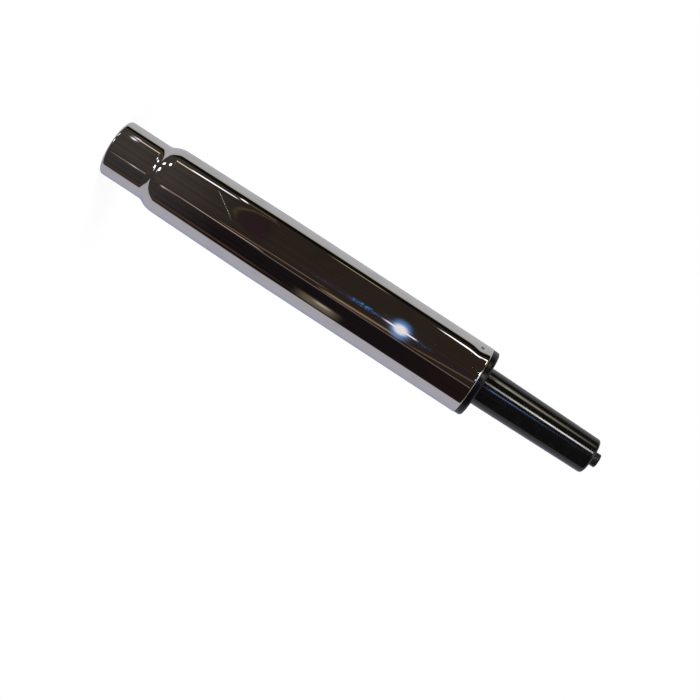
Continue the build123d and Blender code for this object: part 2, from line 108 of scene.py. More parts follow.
def axes(vector):  # its x, y and z
    split = vector.node("ShaderNodeSeparateXYZ", {}, {0: vector})
    return [Wire(vector.tree, socket) for socket in split.socket.node.outputs]


def flatPoint(x, y):
    return x.node("ShaderNodeCombineXYZ", {}, {0: x, 1: y})


def stretch(vector, amounts):  # each axis by its own amount
    return vector.node("ShaderNodeVectorMath", {"operation": "MULTIPLY"}, {0: vector, 1: amounts})


def noise(where, scale=1.0, detail=2.0, roughness=0.5, dimensions="3D"):
    inputs = {"Vector": where, "Scale": scale, "Detail": detail, "Roughness": roughness}
    return where.node("ShaderNodeTexNoise", {"noise_dimensions": dimensions}, inputs)


def rays(wire, kind):  # 1 for rays of that kind and 0 for the others
    return wire.node("ShaderNodeLightPath", output=kind)


def mirrorRays(wire):
    return wire.maths("MAXIMUM", rays(wire, "Is Glossy Ray"), rays(wire, "Is Transmission Ray"))


# Camera: a plain lens beside the column, turned so that the column lies as in the photo
camera = {
    "imageSize": 700,
    "focalPixels": 1300,
    "axisPixel": (338.67, 292.33),  # a point of the column's axis in the photo
    "axisDown": 33.16,  # degrees by which the axis falls to the right
    "footAlong": 68.0,  # pixels from that point to the place nearest to the camera
    "footHeight": 226.1 * mm,
    "distance": 878.4 * mm,
    "sensor": 36.0,
    "clip": (0.01, 50),  # metres
}


def addCamera():
    half = camera["imageSize"] / 2
    slope = radians(camera["axisDown"])
    along = Vector((cos(slope), -sin(slope), 0))
    right, down = camera["axisPixel"]
    pixel = Vector((right - half, half - down, -camera["focalPixels"]))
    toFoot = (pixel + along * camera["footAlong"]).normalized()
    upAxis = (along - toFoot * along.dot(toFoot)).normalized()
    seen = Matrix((toFoot, upAxis, toFoot.cross(upAxis))).transposed()
    real = Matrix(((0, 1, 0), (0, 0, 1), (1, 0, 0))).transposed()
    lens = bpy.data.cameras.new("photoCamera")
    lens.sensor_width = camera["sensor"]
    lens.lens = camera["sensor"] * camera["focalPixels"] / camera["imageSize"]
    lens.clip_start, lens.clip_end = camera["clip"]
    holder = bpy.data.objects.new("photoCamera", lens)
    scene.collection.objects.link(holder)
    turned = (real @ seen.transposed()).to_4x4()
    place = Vector((0, -camera["distance"], camera["footHeight"]))
    holder.matrix_world = Matrix.Translation(place) @ turned
    scene.camera = holder


addCamera()
print("camera placed")

# Surroundings: white to the camera, and to gloss a pale sheet behind the part with a dark room
# before it. Turn is the compass angle from the camera's side, towards +X, and rise the height
# above the horizon, both in degrees. A fade is the stretch over which a colour gives way to the
# next one.
surroundings = {
    "seen": white,
    "soft": (0.72, 0.72, 0.72),
    "ceiling": (0.8, 0.79, 0.78),
    "ceilingFade": (50, 75),
}

room = {
    "left": [(0.06, 0.049, 0.043), (0.029, 0.021, 0.0155), (0.031, 0.02, 0.0145)],  # low to high
    "leftFades": [(-14, -9.3), (0.5, 3)],
    "right": [(0.045, 0.039, 0.037), (0.0105, 0.0075, 0.0085), (0.015, 0.0085, 0.0078)],
    "rightFades": [(-14.5, -9.5), (0, 3)],
    "middleFade": (12, 34),  # turn over which the left side gives way to the right
    "streakCells": (0.35, 0.05),  # of noise, for each degree of turn and of rise
    "streakDetail": 3.0,
    "streakGain": 1.3,
    "streakLeast": 0.4,
    "edge": (0.005, 0.0045, 0.005),
    "edgeFade": (88, 95),  # degrees of turn to either side
}


def bands(wire, colours, fades):  # colours that give way to one another along a wire
    mixed = colours[0]
    for colour, fade in zip(colours[1:], fades):
        mixed = wire.step(*fade).mix(mixed, colour)
    return mixed


def paintRoom(turn, rise):
    left = bands(rise, room["left"], room["leftFades"])
    right = bands(rise, room["right"], room["rightFades"])
    both = turn.step(*room["middleFade"]).mix(left, right)
    cells = flatPoint(turn * room["streakCells"][0], rise * room["streakCells"][1])
    grain = noise(cells, detail=room["streakDetail"], dimensions="2D")
    level = grain * room["streakGain"] + room["streakLeast"]
    streaks = turn.node("ShaderNodeVectorMath", {"operation": "SCALE"}, {0: both, "Scale": level})
    return abs(turn).step(*room["edgeFade"]).mix(streaks, room["edge"])


sheet = {
    "left": (0.555, 0.55, 0.565),
    "right": (0.52, 0.508, 0.548),
    "outer": (0.38, 0.41, 0.58),  # on the right alone
    "outerFade": (122, 160),
    "margin": (0.49, 0.46, 0.32),  # yellowish, along the sheet's edge
    "marginFade": (0, 9),  # degrees past the edge
    "shade": (0.17, 0.17, 0.2),
    "shadeFade": (156, 176),
    "leftEdge": 105.2,  # turn at which the sheet starts
    "leftIn": 12,  # degrees by which it comes in below
    "rightEdge": 90.5,
    "rightIn": 20,
    "fall": (8, 50),  # degrees below the horizon between which it comes in
    "middleFade": (-1, 1),  # turn over which the left side gives way to the right
    "edgeSoft": (-1.5, 2.0),  # degrees about the edge
}


def paintSheet(turn, rise, colour):
    side = abs(turn)
    below = (0 - rise).step(*sheet["fall"])
    onRight = turn.step(*sheet["middleFade"])
    leftEdge = sheet["leftEdge"] - below * sheet["leftIn"]
    rightEdge = sheet["rightEdge"] - below * sheet["rightIn"]
    past = side - leftEdge - onRight * (rightEdge - leftEdge)
    beyondMargin = past.step(*sheet["marginFade"])
    left = beyondMargin.mix(sheet["margin"], sheet["left"])
    right = side.step(*sheet["outerFade"]).mix(sheet["right"], sheet["outer"])
    right = (below * (1 - beyondMargin)).mix(right, sheet["margin"])
    both = onRight.mix(left, right)
    shaded = side.step(*sheet["shadeFade"]).mix(both, sheet["shade"])
    return past.step(*sheet["edgeSoft"]).mix(colour, shaded)


def oval(turn, rise, shape):  # 0 in the middle of an oval of directions, 1 at its edge
    around = (turn - shape["middle"][0]) * (1 / shape["half"][0])
    climb = (rise - shape["middle"][1]) * (1 / shape["half"][1])
    return turn.maths("SQRT", around * around + climb * climb)


def patch(turn, rise, shape):  # 1 inside a rectangle of directions with soft edges
    around = turn.within(shape["middle"][0], shape["half"][0], shape["soft"][0])
    return around * rise.within(shape["middle"][1], shape["half"][1], shape["soft"][1])


# A dark oval with a brownish rim on the room's left side, open above and on its right
loop = {
    "middle": (-32.0, -7.9),
    "half": (48.0, 2.2),
    "inside": (0.03, 0.0165, 0.0185),
    "insideEdge": (0.85, 0.99),  # as shares of the oval's size
    "insideTurn": (-12, 12),
    "insideRise": (-9, -6.8),
    "rim": (0.09, 0.066, 0.036),
    "rimHalf": 0.035,
    "rimTurn": (-34, -12),
    "rimRise": (-8.1, -6.6),
}


def paintLoop(turn, rise, colour):
    reach = oval(turn, rise, loop)
    inside = 1 - reach.step(*loop["insideEdge"])
    inside = inside * (1 - turn.step(*loop["insideTurn"])) * (1 - rise.step(*loop["insideRise"]))
    colour = inside.mix(colour, loop["inside"])
    rim = reach.within(1.0, loop["rimHalf"], loop["rimHalf"])
    rim = rim * (1 - rise.step(*loop["rimRise"])) * (1 - turn.step(*loop["rimTurn"]))
    return rim.mix(colour, loop["rim"])


# Blue specks of light before and after the flash: a torn smear and two swarms of dots
specks = {
    "smear": dict(middle=(-6.0, -1.3), half=(5.0, 2.4), soft=(5.0, 1.6), tint=(0.085, 0.11, 0.34)),
    "smearCells": (0.16, 1.4),  # of noise, for each degree of turn and of rise
    "smearDetail": (5.0, 0.75),  # of that noise, and its roughness
    "smearFrom": (0.47, 0.68),
    "dots": [
        dict(middle=(-8.0, -1.75), half=(7.0, 0.75), tint=(0.07, 0.3, 0.72)),
        dict(middle=(-5.0, 1.4), half=(5.0, 0.6), tint=(0.03, 0.14, 0.3)),
    ],
    "dotCells": (0.3, 9.0),
    "dotFrom": (0.52, 0.62),
    "dotsEdge": (0.7, 1.1),  # as shares of the swarm's size
}


def paintSpecks(turn, rise, colour):
    cells = flatPoint(turn * specks["smearCells"][0], rise * specks["smearCells"][1])
    torn = noise(cells, 1.0, *specks["smearDetail"]).step(*specks["smearFrom"])
    smear = specks["smear"]
    colour = (torn * patch(turn, rise, smear)).mix(colour, smear["tint"])
    cells = flatPoint(turn * specks["dotCells"][0], rise * specks["dotCells"][1])
    grains = noise(cells, detail=1.0).step(*specks["dotFrom"])
    for swarm in specks["dots"]:
        mask = grains * (1 - oval(turn, rise, swarm).step(*specks["dotsEdge"]))
        colour = mask.mix(colour, swarm["tint"])
    return colour


def bar(middle, half, soft, tint, power, lean=0, fade=None):
    # lean is the degrees by which it turns for each degree that it rises, and fade its dimming
    # towards the top
    size = dict(middle=middle, half=half, soft=soft)
    return dict(size, rounded=False, tint=tint, power=power, lean=lean, fade=fade)


def disc(middle, half, soft, tint, power):
    return dict(middle=middle, half=half, soft=soft, rounded=True, tint=tint, power=power, fade=None)


# Each light that shows in the gloss: its middle and its half size as turn and rise, its softness,
# colour and strength. A later light covers those before it.
lights = {
    "lampStrip": bar(
        (-77.0, -11.2), (1.7, 1.17), (1.2, 0.06), (1.0, 0.98, 1.0), 2.1, lean=-1.3, fade=(-11.2, -8.9)
    ),
    "lampStripEnd": bar((-74.2, -13.1), (1.6, 0.85), (0.9, 0.25), (1.0, 0.89, 0.6), 1.15),
    "lampStripGap": bar((-85.6, -9.66), (1.9, 0.17), (1.2, 0.04), (1.0, 0.95, 0.85), 2.3),
    "lampStripTail": bar((-87.0, -8.6), (2.6, 0.9), (1.8, 0.3), (1.0, 0.76, 0.42), 0.13),
    "lampStripThin": bar((-88.6, -2.6), (1.0, 1.3), (0.9, 0.5), (1.0, 0.82, 0.45), 0.6),
    "neckStripEnd": bar((-76.0, -13.85), (2.4, 0.12), (1.4, 0.1), (1.0, 0.96, 0.9), 1.4),
    "capStrip": bar((-80.5, 4.6), (1.1, 2.8), (0.9, 0.4), (1.0, 0.99, 1.0), 3.2),
    "capStripWide": bar((-79.5, 4.9), (2.1, 2.2), (1.5, 0.6), (1.0, 0.97, 1.0), 2.6),
    "seamLine": bar((26.0, 0.2), (1.3, 8.0), (0.8, 1.5), (1.0, 0.72, 0.62), 0.2),
    "seamLineLow": bar((22.9, -10.3), (1.25, 2.6), (0.8, 1.3), (1.0, 0.74, 0.6), 0.53),
    "neckSeam": bar((25.4, -13.6), (1.4, 0.85), (0.8, 0.4), (1.0, 0.82, 0.72), 0.32),
    "seamShine": bar((25.2, -13.38), (1.4, 0.14), (0.8, 0.14), (1.0, 0.9, 0.74), 1.1),
    "paleLine": bar((14.3, -7.0), (1.2, 3.3), (1.0, 0.6), (1.0, 0.68, 0.42), 0.21, lean=-0.7),
    "paleLineHigh": bar((17.9, -1.6), (2.5, 2.0), (2.0, 0.5), (1.0, 0.67, 0.38), 0.34, lean=-1.3),
    "capLine": bar((10.0, 2.8), (1.4, 1.8), (1.0, 0.5), (1.0, 0.7, 0.5), 0.17, lean=-4.4),
    "capPurple": bar((-5.0, 3.0), (3.4, 1.3), (3.0, 0.8), (0.8, 0.5, 0.8), 0.035),
    "halo": disc((-7.6, 0.19), (25.5, 0.42), 0.5, (0.2, 0.46, 0.95), 0.86),
    "flashRay": bar((-7.0, 0.19), (1.6, 0.8), (0.9, 0.1), (1.0, 0.88, 1.0), 1.6),
    "flash": disc((-7.6, 0.2), (14.0, 0.34), 0.4, (1.0, 0.98, 1.0), 1.1),
    "goldBlotch": bar((72.5, -3.5), (12.0, 0.9), (5.0, 0.5), (1.0, 0.82, 0.52), 0.17),
    "blotchCore": bar((66.0, -3.3), (3.4, 0.35), (3.0, 0.3), (1.0, 0.88, 0.78), 0.5),
    "brownEdge": bar((77.6, -10.6), (3.0, 4.2), (2.8, 3.6), (1.0, 0.55, 0.32), 0.085),
    "tubeGold": bar((-70.0, 8.9), (5.6, 3.4), (2.5, 0.12), (1.0, 0.88, 0.64), 8.8, fade=(5.0, 13.0)),
    "tubeWhite": bar(
        (-27.8, 10.5), (3.4, 3.0), (2.4, 2.0), (1.0, 0.97, 0.92), 27.0, fade=(10.6, 12.4)
    ),
    "tubeWhiteLow": bar((-27.8, 5.6), (3.4, 1.0), (2.4, 0.12), (1.0, 0.98, 0.95), 9.0),
    "tubeBlue": bar((-4.0, 8.4), (2.8, 2.9), (1.8, 0.12), (0.3, 0.46, 1.0), 12.0, fade=(5.4, 10.0)),
    "windowHigh": bar((-24.0, 36.0), (17.0, 16.0), (6.0, 8.0), (0.95, 0.98, 1.0), 1.5),
    "beadLeft": disc((-65.0, -14.0), (4.0, 0.11), 0.6, (0.86, 0.88, 1.0), 1.9),
    "beadFoot": bar((-52.0, -24.0), (4.0, 2.4), (2.0, 1.2), (0.85, 0.9, 1.0), 6.0),
    "beadLow": bar((-50.0, -44.0), (4.0, 5.0), (2.0, 2.0), (1.0, 0.95, 0.85), 4.0),
    "beadDeep": bar((-22.0, -50.0), (7.0, 4.5), (2.0, 2.0), (0.78, 0.82, 1.0), 7.0),
    "beadNadir": bar((-14.0, -60.0), (9.0, 2.0), (4.0, 1.0), (1.0, 0.94, 0.8), 2.2),
}


def paintLight(turn, rise, colour, light):
    if light["rounded"]:
        mask = 1 - oval(turn, rise, light).step(1 - light["soft"], 1 + light["soft"])
    else:
        around = turn
        if light["lean"]:
            around = turn - (rise - light["middle"][1]) * light["lean"]
        mask = patch(around, rise, light)
    if light["fade"]:
        mask = mask * (1 - rise.step(*light["fade"]))
    glow = tuple(channel * light["power"] for channel in light["tint"])
    return mask.mix(colour, glow)


def addSurroundings():
    world = bpy.data.worlds.new("surroundings")
    scene.world = world
    world.use_nodes = True
    world.node_tree.nodes.clear()
    wire = Wire(world.node_tree)
    x, y, z = axes(wire.node("ShaderNodeTexCoord", output="Generated"))
    turn = wire.maths("ARCTAN2", x, 0 - y) * toDegrees
    rise = wire.maths("ARCTAN2", z, wire.maths("SQRT", x * x + y * y)) * toDegrees
    colour = paintSheet(turn, rise, paintRoom(turn, rise))
    colour = paintLoop(turn, rise, colour)
    colour = paintSpecks(turn, rise, colour)
    for light in lights.values():
        colour = paintLight(turn, rise, colour, light)
    colour = rise.step(*surroundings["ceilingFade"]).mix(colour, surroundings["ceiling"])
    lit = mirrorRays(wire).mix(surroundings["soft"], colour)
    final = rays(wire, "Is Camera Ray").mix(lit, surroundings["seen"])
    shine = wire.node("ShaderNodeBackground", {}, {"Color": final, "Strength": 1.0})
    wire.node("ShaderNodeOutputWorld", {}, {"Surface": shine})
    world.cycles.sampling_method = "NONE"


addSurroundings()
print("surroundings painted")

# Modelling: each turned piece starts as one ring of points, is drawn out ring by ring along its
# outline, and has the rings at its corners bevelled
modelling = {
    "sameRing": 0.02 * mm,  # how near an edge lies to the ring that it belongs to
    "samePoint": 0.002 * mm,
    "flatWeight": 80,  # how much large faces lead the shading
    "seatSlope": tan(radians(0.719)),  # of the seat cones on the column and the gas cylinder
}

plainCorner = (0, 0)  # no bevel


def deselectAll():
    bpy.ops.object.select_all(action="DESELECT")


def selectRing(mesh, radius, height):  # in metres
    bpy.ops.mesh.select_all(action="DESELECT")
    bpy.ops.mesh.select_mode(type="EDGE")
    near = modelling["sameRing"]
    shape = bmesh.from_edit_mesh(mesh)
    for edge in shape.edges:
        ends = [(hypot(point.co.x, point.co.y), point.co.z) for point in edge.verts]
        if all(abs(r - radius) < near and abs(z - height) < near for r, z in ends):
            edge.select_set(True)
    bmesh.update_edit_mesh(mesh)


def seatRadius(widest, away):  # of a seat cone, so many millimetres away from its wide end
    return widest - away * modelling["seatSlope"]


def turnPiece(name, corners, segments, closed):
    # corners are (radius, height, bevel, bevel steps) in millimetres
    deselectAll()
    radius, height = corners[0][0] * mm, corners[0][1] * mm
    bpy.ops.mesh.primitive_circle_add(vertices=segments, radius=radius, location=(0, 0, height))
    piece = bpy.context.object
    piece.name = name
    bpy.ops.object.transform_apply(location=True)
    bpy.ops.object.mode_set(mode="EDIT")
    bpy.ops.mesh.select_all(action="SELECT")
    for before, after in zip(corners, corners[1:]):
        climb = (after[1] - before[1]) * mm
        bpy.ops.mesh.extrude_edges_move(TRANSFORM_OT_translate={"value": (0, 0, climb)})
        scale = after[0] / before[0]
        bpy.ops.transform.resize(value=(scale, scale, 1), center_override=(0, 0, 0))
    if closed:  # a tube: the last ring meets the first
        bpy.ops.mesh.select_all(action="DESELECT")
        bpy.ops.mesh.select_non_manifold()
        bpy.ops.mesh.bridge_edge_loops()
    else:  # a solid: both end rings close over
        for radius, height, *_ in (corners[0], corners[-1]):
            selectRing(piece.data, radius * mm, height * mm)
            bpy.ops.mesh.edge_face_add()
            bpy.ops.mesh.poke()
    for radius, height, bevel, steps in corners:
        if bevel:
            selectRing(piece.data, radius * mm, height * mm)
            bpy.ops.mesh.bevel(offset=bevel * mm, segments=steps, profile=0.5, affect="EDGES")
    bpy.ops.mesh.select_all(action="SELECT")
    bpy.ops.mesh.remove_doubles(threshold=modelling["samePoint"])
    bpy.ops.mesh.normals_make_consistent(inside=False)
    bpy.ops.object.mode_set(mode="OBJECT")
    return piece


def smoothPiece(piece, keepSharp):  # degrees above which a corner stays sharp
    deselectAll()
    piece.select_set(True)
    bpy.context.view_layer.objects.active = piece
    bpy.ops.object.shade_smooth_by_angle(angle=radians(keepSharp))
    finish = piece.modifiers.new("flats", "WEIGHTED_NORMAL")
    finish.keep_sharp = True
    finish.weight = modelling["flatWeight"]
    bpy.ops.object.modifier_apply(modifier=finish.name)


# Column tube: chromed steel, its neck and shoulder below, two pressed dimples near the top
column = {
    "segments": 512,
    "keepSharp": 70,
    "radius": 25,
    "wall": 2,
    "height": 289.5,
    "topEdge": (1.2, 5),  # bevels are given as size and steps
    "neckRadius": 20.5,
    "neckWall": 3,
    "neckBreak": (0.4, 1),
    "neckEdge": (1.8, 6),
    "neckStraight": (2.6, 30.4),  # heights between which the neck has no bend
    "shoulderFoot": 33.5,
    "footBend": (2.4, 10),
    "shoulderWaist": (22.59, 36.42),  # radius and height at which the S-curve turns over
    "waistBend": (1.15, 6),
    "shoulderTop": (23.96, 40.9),
    "topBend": (2.84, 10),
    "coneFoot": (24.03, 46.4),
    "coneStraight": 120.0,  # height up to which the cone has no bend
    "coneTop": 123.5,
    "coneBend": (2.5, 3),
    "innerFoot": 32.4,
    "innerShoulder": 38.5,
    "innerBend": (0.98, 3),
    "rowsFrom": 264.0,  # heights between which the wall has rows fine enough to be dented
    "rowsTo": 288.0,
    "rows": 64,
    "pressedFrom": 263.0,
    "innerWall": 23.5,  # points nearer to the axis aren't pressed
    "dimpleHeight": 281.5,
    "dimpleTurns": (30, 210),  # degrees from +X
    "dimpleBall": 1.9,
    "dimpleBallOut": 1.1,  # from the wall to the middle of that ball
    "dentDeep": 0.5,
    "dentAcross": 8.0,
    "dentAlong": 4.8,
}


def pressDimples(piece):
    for point in piece.data.vertices:
        place = point.co / mm
        radius = hypot(place.x, place.y)
        if radius < column["innerWall"] or place.z < column["pressedFrom"]:
            continue
        for turn in column["dimpleTurns"]:
            across = radians((degrees(atan2(place.y, place.x)) - turn + 180) % 360 - 180) * radius
            along = place.z - column["dimpleHeight"]
            spread = (across / column["dentAcross"]) ** 2 + (along / column["dentAlong"]) ** 2
            push = column["dentDeep"] * exp(-spread)
            inside = column["dimpleBall"] ** 2 - across**2 - along**2
            if inside > 0:
                push += max(0.0, sqrt(inside) - column["dimpleBallOut"])
            point.co.x -= push * mm * place.x / radius
            point.co.y -= push * mm * place.y / radius


def coneRadius(height):  # of the column's outside, in its seat cone
    return seatRadius(column["radius"], column["coneTop"] - height)


def columnCorners():
    radius, neck, height = column["radius"], column["neckRadius"], column["height"]
    straight, top, innerShoulder = column["coneStraight"], column["coneTop"], column["innerShoulder"]
    climb = (column["rowsTo"] - column["rowsFrom"]) / column["rows"]
    rows = [column["rowsFrom"] + row * climb for row in range(column["rows"] + 1)]
    return [
        (neck - column["neckWall"], 0, *column["neckBreak"]),
        (neck, 0, *column["neckEdge"]),
        *[(neck, place, *plainCorner) for place in column["neckStraight"]],
        (neck, column["shoulderFoot"], *column["footBend"]),
        (*column["shoulderWaist"], *column["waistBend"]),
        (*column["shoulderTop"], *column["topBend"]),
        (*column["coneFoot"], *plainCorner),
        (coneRadius(straight), straight, *plainCorner),
        (radius, top, *column["coneBend"]),
        *[(radius, place, *plainCorner) for place in rows],
        (radius, height, *column["topEdge"]),
        (radius - column["wall"], height, *plainCorner),
        (radius - column["wall"], top, *plainCorner),
        (coneRadius(innerShoulder) - column["wall"], innerShoulder, *column["innerBend"]),
        (neck - column["neckWall"], column["innerFoot"], *plainCorner),
    ]


def makeColumn():
    piece = turnPiece("columnTube", columnCorners(), column["segments"], closed=True)
    pressDimples(piece)
    smoothPiece(piece, column["keepSharp"])
    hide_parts("column_tube")
    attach(piece, "column")
    return piece


columnTube = makeColumn()
print("column tube turned")

# Gas cylinder: black enamelled tube with a seating cone at its head and a crowned lip
cylinder = {
    "segments": 192,
    "keepSharp": 70,
    "radius": 14,
    "wall": 1.5,
    "foot": 24.6,
    "footBend": (1.4, 5),
    "lipBore": 9,
    "lipHeights": (26.0, 27.0),  # inside the rolled lip, at its bore and at the wall
    "coneFoot": 300.8,
    "coneBend": (1.5, 3),
    "top": 382.8,
    "crown": (2.2, 8),
    "roof": 1.6,
    "roofRadius": 11.4,
    "hole": 5.2,
    "holeEdge": (0.25, 2),
}


def cylinderCorners():
    radius, foot, bend, top = [cylinder[name] for name in ("radius", "foot", "coneFoot", "top")]
    roof, bore = top - cylinder["roof"], radius - cylinder["wall"]
    lipLow, lipHigh = cylinder["lipHeights"]
    return [
        (cylinder["lipBore"], foot, *plainCorner),
        (radius, foot, *cylinder["footBend"]),
        (radius, bend, *cylinder["coneBend"]),
        (seatRadius(radius, top - bend), top, *cylinder["crown"]),
        (cylinder["hole"], top, *cylinder["holeEdge"]),
        (cylinder["hole"], roof, *plainCorner),
        (cylinder["roofRadius"], roof, *plainCorner),
        (bore, bend, *plainCorner),
        (bore, lipHigh, *plainCorner),
        (cylinder["lipBore"], lipLow, *plainCorner),
    ]


def makeCylinder():
    piece = turnPiece("pressureTube", cylinderCorners(), cylinder["segments"], closed=True)
    smoothPiece(piece, cylinder["keepSharp"])
    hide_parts("pressure_tube")
    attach(piece, "gas_cylinder")
    return piece


pressureTube = makeCylinder()
print("gas cylinder turned")

# Release button: blackened steel pin with a turned edge and a dished face
button = {
    "segments": 96,
    "keepSharp": 50,
    "radius": 5.0,
    "top": 388.2,
    "edge": (0.7, 4),
    "flangeRadius": 6.8,
    "flangeFoot": 379.0,
    "flangeTop": 381.0,
    "flangeEdge": (0.3, 2),
    "dishRim": 3.4,
    "dishRimEdge": (0.15, 2),
    "dishFloor": 3.1,
    "dishDeep": 0.2,
    "dishFloorEdge": (0.1, 2),
}


def buttonCorners():
    return [
        (button["flangeRadius"], button["flangeFoot"], *plainCorner),
        (button["flangeRadius"], button["flangeTop"], *button["flangeEdge"]),
        (button["radius"], button["flangeTop"], *plainCorner),
        (button["radius"], button["top"], *button["edge"]),
        (button["dishRim"], button["top"], *button["dishRimEdge"]),
        (button["dishFloor"], button["top"] - button["dishDeep"], *button["dishFloorEdge"]),
    ]


def makeButton():
    piece = turnPiece("releaseButton", buttonCorners(), button["segments"], closed=False)
    smoothPiece(piece, button["keepSharp"])
    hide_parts("release_button")
    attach(piece, "release")
    return piece


releaseButton = makeButton()
print("release button turned")


def newMaterial(name):
    material = bpy.data.materials.new(name)
    material.use_nodes = True
    material.node_tree.nodes.clear()
    return material, Wire(material.node_tree)


def spot(wire):  # position on the object, in metres
    return wire.node("ShaderNodeTexCoord", output="Object")


def unroll(wire, radius):  # turn in radians, height in metres, and the surface laid flat
    x, y, z = axes(spot(wire))
    turn = wire.maths("ARCTAN2", y, x)
    return turn, z, flatPoint(turn * radius, z)


def coat(material, wire, looks, height, relief, depth):
    bump = wire.node("ShaderNodeBump", {}, {"Height": height, "Strength": relief, "Distance": depth})
    shader = wire.node("ShaderNodeBsdfPrincipled", {}, {**looks, "Normal": bump})
    wire.node("ShaderNodeOutputMaterial", {}, {"Surface": shader})
    return material


# Chrome plate: nearly a mirror, with a faint waviness of the tube under it, a hairline scratch
# and a few pits. Here and in the finishes below, sizes of noise are in cells for each metre, and
# a pair whose name ends in From holds the levels of noise between which a thing sets in.
chrome = {
    "base": (0.68, 0.67, 0.675),
    "worn": (0.6, 0.59, 0.6),
    "wornFrom": (0.45, 0.8),
    "roughness": (0.015, 0.035),
    "roughFrom": (0.3, 0.75),
    "smears": 60.0,
    "waves": 45.0,
    "grain": (9000.0, 60.0, 1.0),
    "grainDeep": 0.0012,  # as shares of the waves
    "pitDeep": 0.4,
    "scratchDeep": 0.1,
    "pits": 42.0,
    "pitEdge": (0.006, 0.014),
    "pitRough": 0.2,
    "scratchRough": 0.3,
    "scratchDull": 0.2,
    "relief": 0.25,  # the bump's strength and the height that it stands for
    "depth": 0.02 * mm,
}

scratch = {
    "start": (-33.0, 77.4),  # turn from the front in degrees, height in millimetres
    "end": (-3.0, 96.0),
    "wide": 0.5,
    "fade": 2,  # millimetres over which each end runs out
    "wiggle": 0.8,  # millimetres by which it strays
    "wiggles": 320.0,
    "breaks": 260.0,
    "breakFrom": (0.32, 0.6),
    "least": 0.25,
}


def scratchPoint(side, up):  # millimetres round from the front, and up
    return Vector((radians(side) * column["radius"], up))


def hairline(turn, z, unrolled):  # 1 on the scratch, 0 beside it
    across = (turn + pi / 2) * column["radius"]  # the front is at -Y
    along = z * (1 / mm)
    low, high = scratchPoint(*scratch["start"]), scratchPoint(*scratch["end"])
    way = (high - low).normalized()
    length = (high - low).length
    forward = (across - low.x) * way.x + (along - low.y) * way.y
    aside = (across - low.x) * way.y - (along - low.y) * way.x
    wiggle = aside + (noise(unrolled, scratch["wiggles"]) - 0.5) * scratch["wiggle"]
    line = 1 - abs(wiggle).step(0.0, scratch["wide"])
    faint = noise(unrolled, scratch["breaks"], detail=1.0).step(*scratch["breakFrom"])
    faint = faint * (1 - scratch["least"]) + scratch["least"]
    line = line * forward.step(0, scratch["fade"])
    return line * (1 - forward.step(length - scratch["fade"], length)) * faint


def chromeMaterial():
    material, wire = newMaterial("chromePlate")
    turn, z, unrolled = unroll(wire, column["radius"] * mm)
    smear = noise(spot(wire), chrome["smears"], detail=4.0)
    grain = noise(stretch(unrolled, chrome["grain"]))
    line = hairline(turn, z, unrolled)
    cells = wire.node("ShaderNodeTexVoronoi", {}, {"Vector": spot(wire), "Scale": chrome["pits"]})
    pits = 1 - cells.step(*chrome["pitEdge"])
    low, high = chrome["roughness"]
    rough = smear.step(*chrome["roughFrom"]) * (high - low) + low
    rough = rough + line * chrome["scratchRough"] + pits * chrome["pitRough"]
    colour = smear.step(*chrome["wornFrom"]).mix(chrome["base"], chrome["worn"])
    wave = noise(unrolled, chrome["waves"], detail=1.0) + grain * chrome["grainDeep"]
    wave = wave - pits * chrome["pitDeep"] - line * chrome["scratchDeep"]
    looks = {"Base Color": colour, "Roughness": rough, "Metallic": 1 - line * chrome["scratchDull"]}
    return coat(material, wire, looks, wave, chrome["relief"], chrome["depth"])


# Black enamel of the gas cylinder: a smooth gloss with fine orange peel and rubbed spots
enamel = {
    "deep": (0.0028, 0.0028, 0.0031),
    "rubbed": (0.006, 0.006, 0.0062),
    "rubbedFrom": (0.5, 0.8),
    "roughness": (0.1, 0.15),
    "roughFrom": (0.35, 0.7),
    "peel": 1500.0,
    "rub": 130.0,
    "drawn": (2500.0, 14.0, 1.0),  # marks along the tube
    "drawnRough": 0.03,
    "drawnDeep": 0.15,  # as a share of the peel
    "shine": 0.35,
    "coat": 0.35,
    "coatRubbed": 0.15,
    "coatRoughness": 0.05,
    "index": 1.5,
    "relief": 0.006,
    "depth": 0.02 * mm,
}


def enamelMaterial():
    material, wire = newMaterial("blackEnamel")
    unrolled = unroll(wire, cylinder["radius"] * mm)[2]
    peel = noise(spot(wire), enamel["peel"])
    rub = noise(unrolled, enamel["rub"], detail=4.0, roughness=0.6)
    drawn = noise(stretch(unrolled, enamel["drawn"]), detail=3.0)
    low, high = enamel["roughness"]
    looks = {
        "Base Color": rub.step(*enamel["rubbedFrom"]).mix(enamel["deep"], enamel["rubbed"]),
        "Roughness": rub.step(*enamel["roughFrom"]) * (high - low) + low + drawn * enamel["drawnRough"],
        "Coat Weight": enamel["coat"] - rub * enamel["coatRubbed"],
        "Coat Roughness": enamel["coatRoughness"],
        "Specular IOR Level": enamel["shine"],
        "IOR": enamel["index"],
    }
    return coat(material, wire, looks, peel + drawn * enamel["drawnDeep"], enamel["relief"], enamel["depth"])


# Plain finishes for the rest. Each is a patchwork of two base colours and two roughnesses, with a
# fine grain in relief, which on turned pieces runs round the axis as turning marks do.
plain = {
    "rings": (0.12, 0.12, 1.0),  # how turning marks draw the grain out
    "patches": 160.0,
    "secondFrom": (0.35, 0.75),
    "roughFrom": (0.3, 0.7),
    "grainRough": 0.05,
    "depth": 0.03 * mm,
    "shine": 0.5,
}

